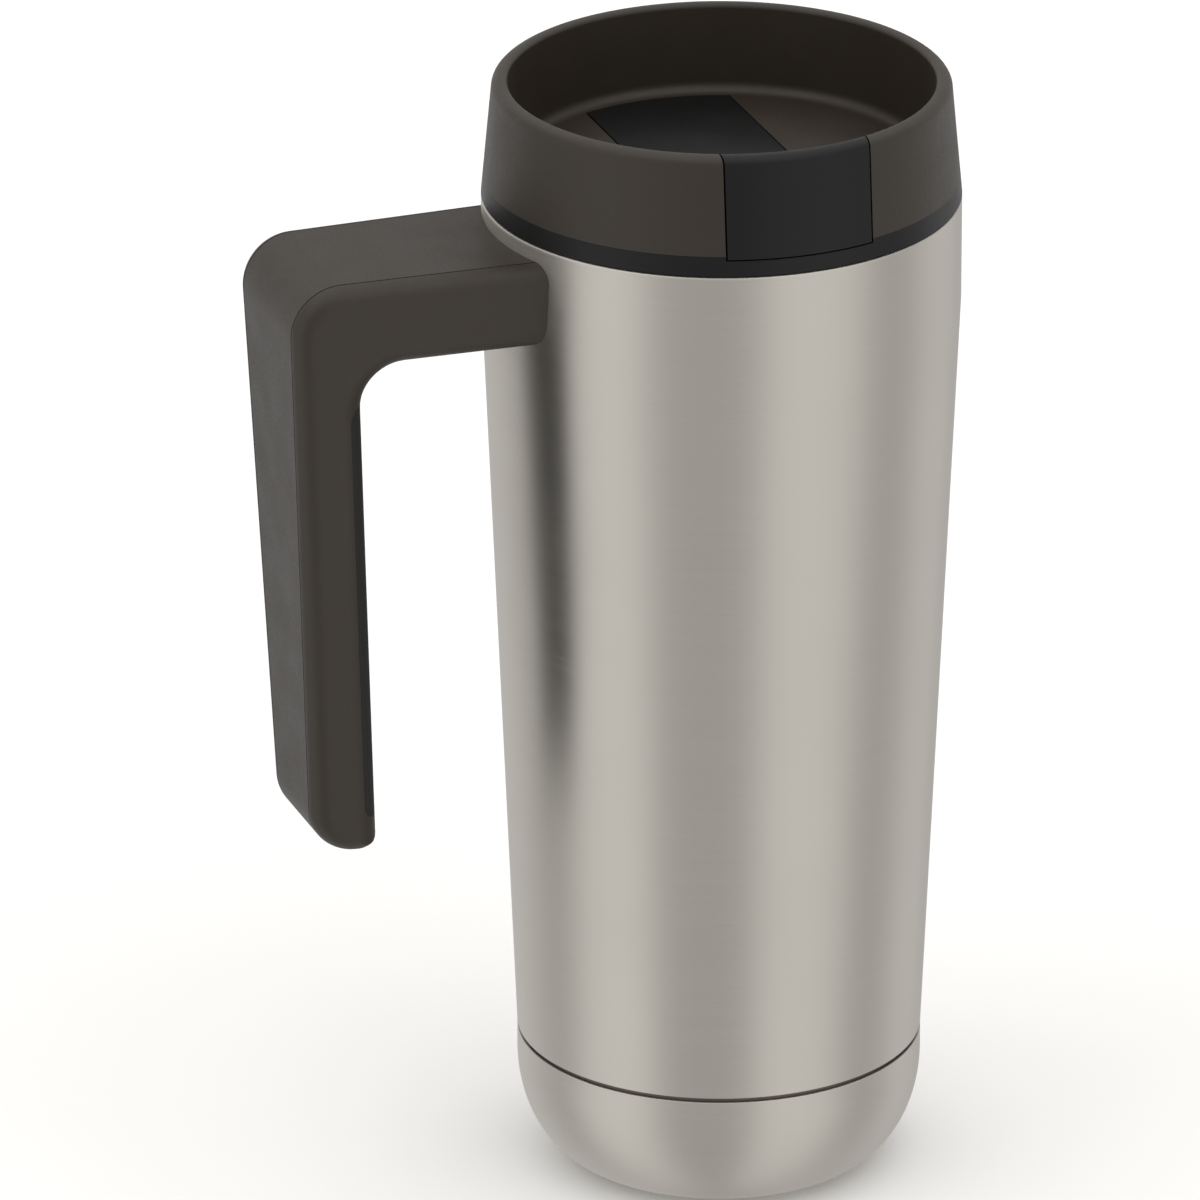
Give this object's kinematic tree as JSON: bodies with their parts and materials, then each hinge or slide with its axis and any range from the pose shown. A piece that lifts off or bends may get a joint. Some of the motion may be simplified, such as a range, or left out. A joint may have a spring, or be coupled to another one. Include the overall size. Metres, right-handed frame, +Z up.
{
  "type": "insulated travel mug",
  "caption": "Double-walled steel travel mug with a rounded base cap, an open hook handle with a soft pad, and a screw-on lid with a flip lever over the drinking side.",
  "frame": {"origin": "centre of the flat base, on the mug's axis", "axes": "+Z up along the mug's axis, -X towards the handle, -Y towards the drinking side of the lid"},
  "size_m": [0.1256, 0.084, 0.203],
  "materials": {
    "satin_steel": "satin, brushed round the body",
    "drawn_steel": "electropolished inside",
    "sheet_steel": "as stamped",
    "zinc_steel": "zinc plated",
    "copper_foil": "bright foil",
    "getter_metal": "sintered, matte",
    "brown_plastic": "fine matte texture, dark brown",
    "black_plastic": "fine matte texture, black",
    "clear_silicone": "translucent grey silicone",
    "pad_rubber": "soft matte"
  },
  "bodies": {
    "mug": {"outer_shell": "satin_steel", "inner_vessel": "drawn_steel", "base_shell": "satin_steel", "vacuum_base": "sheet_steel", "evacuation_plug": "zinc_steel", "reflective_foil": "copper_foil", "getter_clip": "sheet_steel", "getter_pellet": "getter_metal", "handle_frame": "brown_plastic", "handle_cover": "brown_plastic", "grip_pad": "pad_rubber", "handle_bracket": "sheet_steel", "weld_nuts": "zinc_steel", "handle_screws": "zinc_steel"},
    "lid_riser": {"lid_gasket": "clear_silicone"},
    "lid": {"lid_body": "black_plastic", "lid_ring": "brown_plastic", "lid_liner": "black_plastic", "lever_pin": "sheet_steel"},
    "lever": {"flip_lever": "black_plastic", "spout_seal": "clear_silicone", "vent_seal": "clear_silicone"}
  },
  "joints": [
    {"name": "lid_rise", "type": "slide", "parent": "mug", "child": "lid_riser", "axis": [0, 0, 1], "range_m": [0, 0.02]},
    {"name": "lid_turn", "type": "hinge", "parent": "lid_riser", "child": "lid", "pos_m": [0, 0, 0.1817], "axis": [0, 0, 1], "range_deg": [0, 720]},
    {"name": "lever_flip", "type": "hinge", "parent": "lid", "child": "lever", "pos_m": [0, -0.0042, 0.1836], "axis": [-1, 0, 0], "range_deg": [0, 120]}
  ],
  "couplings": [
    {"joint": "lid_rise", "follows": "lid_turn", "m_per_rad": 0.0015915}
  ]
}
